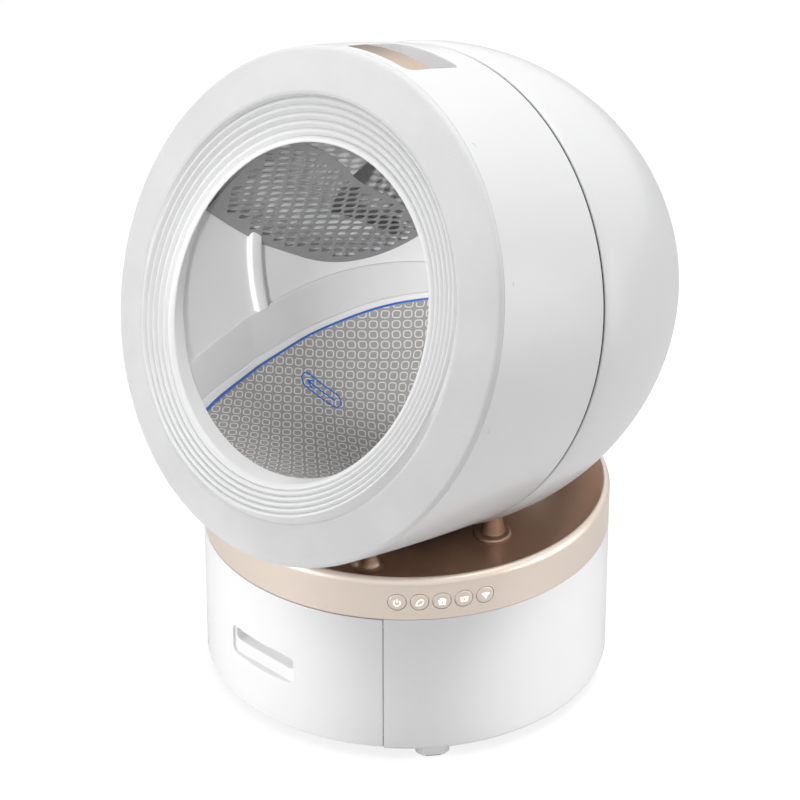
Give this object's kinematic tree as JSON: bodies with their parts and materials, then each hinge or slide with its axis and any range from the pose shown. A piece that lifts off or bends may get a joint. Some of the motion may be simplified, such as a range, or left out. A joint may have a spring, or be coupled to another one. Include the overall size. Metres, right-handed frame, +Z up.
{
  "type": "self cleaning litter box",
  "caption": "Tilted globe with a round entrance and a geared turning drum inside, carried on posts over a dished round base with a pull-out waste drawer.",
  "frame": {"origin": "On the floor under the middle of the whole object's bounding box. The round base's centre is at y = -0.031.", "axes": "+Z up, the entrance and the drawer face -Y, and +X is on the right of someone who faces along +Y, from the entrance."},
  "size_m": [0.5288, 0.5743, 0.7243],
  "materials": {
    "white_gloss": "smooth",
    "white_matte": "fine texture",
    "champagne": "satin metallic",
    "light_grey": "satin",
    "middle_grey": "satin",
    "sieve_grey": "satin",
    "mat_grey": "soft, patterned",
    "dark_grey": "satin",
    "rubber_black": "matte",
    "steel": "plain",
    "gear_nylon": "moulded",
    "bronze": "machined",
    "circuit_green": "solder mask"
  },
  "bodies": {
    "housing": {"chassis_plate": "dark_grey", "base_skirt": "white_gloss", "foot_1": "white_matte", "foot_2": "white_matte", "foot_3": "white_matte", "foot_4": "white_matte", "foot_pad_1": "rubber_black", "foot_pad_2": "rubber_black", "foot_pad_3": "rubber_black", "foot_pad_4": "rubber_black", "deck": "champagne", "button_board": "circuit_green", "main_board": "circuit_green", "power_inlet": "rubber_black", "runner_left": "steel", "runner_right": "steel", "side_post_left": "champagne", "side_post_right": "champagne", "front_post_left": "champagne", "front_post_right": "champagne", "side_buffer_left": "rubber_black", "side_buffer_right": "rubber_black", "front_buffer_left": "rubber_black", "front_buffer_right": "rubber_black", "waste_chute": "dark_grey", "chute_seal": "rubber_black", "rear_dome": "white_gloss", "seam_gasket": "rubber_black", "middle_ring": "white_gloss", "grip_strip": "champagne", "front_cover": "white_matte", "entrance_ring": "white_gloss", "hub_bearing": "bronze", "motor_bracket": "steel", "gearbox": "dark_grey", "drive_motor": "steel", "roller_axle_left": "steel", "roller_axle_right": "steel", "roller_bracket_left": "dark_grey", "roller_bracket_right": "dark_grey"},
    "drum": {"drum_shell": "light_grey", "litter_mat": "mat_grey", "mat_frame": "light_grey", "litter_bank": "middle_grey", "sieve": "sieve_grey", "drum_gear": "gear_nylon", "hub_shaft": "steel"},
    "motor_pinion": {"pinion": "gear_nylon"},
    "left_roller": {"roller_left": "rubber_black"},
    "right_roller": {"roller_right": "rubber_black"},
    "drawer": {"drawer_front": "white_gloss", "drawer_tray": "light_grey", "waste_bin": "dark_grey", "bag_frame": "light_grey"},
    "power_key": {"button_power": "white_gloss"},
    "clean_key": {"button_clean": "white_gloss"},
    "empty_key": {"button_empty": "white_gloss"},
    "level_key": {"button_level": "white_gloss"},
    "wireless_key": {"button_wireless": "white_gloss"}
  },
  "joints": [
    {"name": "drum_spin", "type": "hinge", "parent": "housing", "child": "drum", "pos_m": [0, -0.02042, 0.4148], "axis": [0, -0.9135, 0.4067], "continuous": true},
    {"name": "pinion_spin", "type": "hinge", "parent": "housing", "child": "motor_pinion", "pos_m": [0, 0.02534, 0.51757], "axis": [0, -0.9135, 0.4067], "continuous": true},
    {"name": "left_roller_spin", "type": "hinge", "parent": "housing", "child": "left_roller", "pos_m": [-0.12148, -0.10926, 0.26444], "axis": [0, -0.9135, 0.4067], "continuous": true},
    {"name": "right_roller_spin", "type": "hinge", "parent": "housing", "child": "right_roller", "pos_m": [0.12148, -0.10926, 0.26444], "axis": [0, -0.9135, 0.4067], "continuous": true},
    {"name": "drawer_slide", "type": "slide", "parent": "housing", "child": "drawer", "axis": [0, -1, 0], "range_m": [0, 0.24]},
    {"name": "power_press", "type": "slide", "parent": "housing", "child": "power_key", "axis": [-0.6737, 0.739, 0], "range_m": [0, 0.001], "stiffness_N_per_m": 500},
    {"name": "clean_press", "type": "slide", "parent": "housing", "child": "clean_key", "axis": [-0.7474, 0.6643, 0], "range_m": [0, 0.001], "stiffness_N_per_m": 500},
    {"name": "empty_press", "type": "slide", "parent": "housing", "child": "empty_key", "axis": [-0.813, 0.5823, 0], "range_m": [0, 0.001], "stiffness_N_per_m": 500},
    {"name": "level_press", "type": "slide", "parent": "housing", "child": "level_key", "axis": [-0.8696, 0.4938, 0], "range_m": [0, 0.001], "stiffness_N_per_m": 500},
    {"name": "wireless_press", "type": "slide", "parent": "housing", "child": "wireless_key", "axis": [-0.9166, 0.3999, 0], "range_m": [0, 0.001], "stiffness_N_per_m": 500}
  ],
  "couplings": [
    {"joint": "pinion_spin", "follows": "drum_spin", "ratio": -4},
    {"joint": "left_roller_spin", "follows": "drum_spin", "ratio": -15.92},
    {"joint": "right_roller_spin", "follows": "drum_spin", "ratio": -15.92}
  ]
}
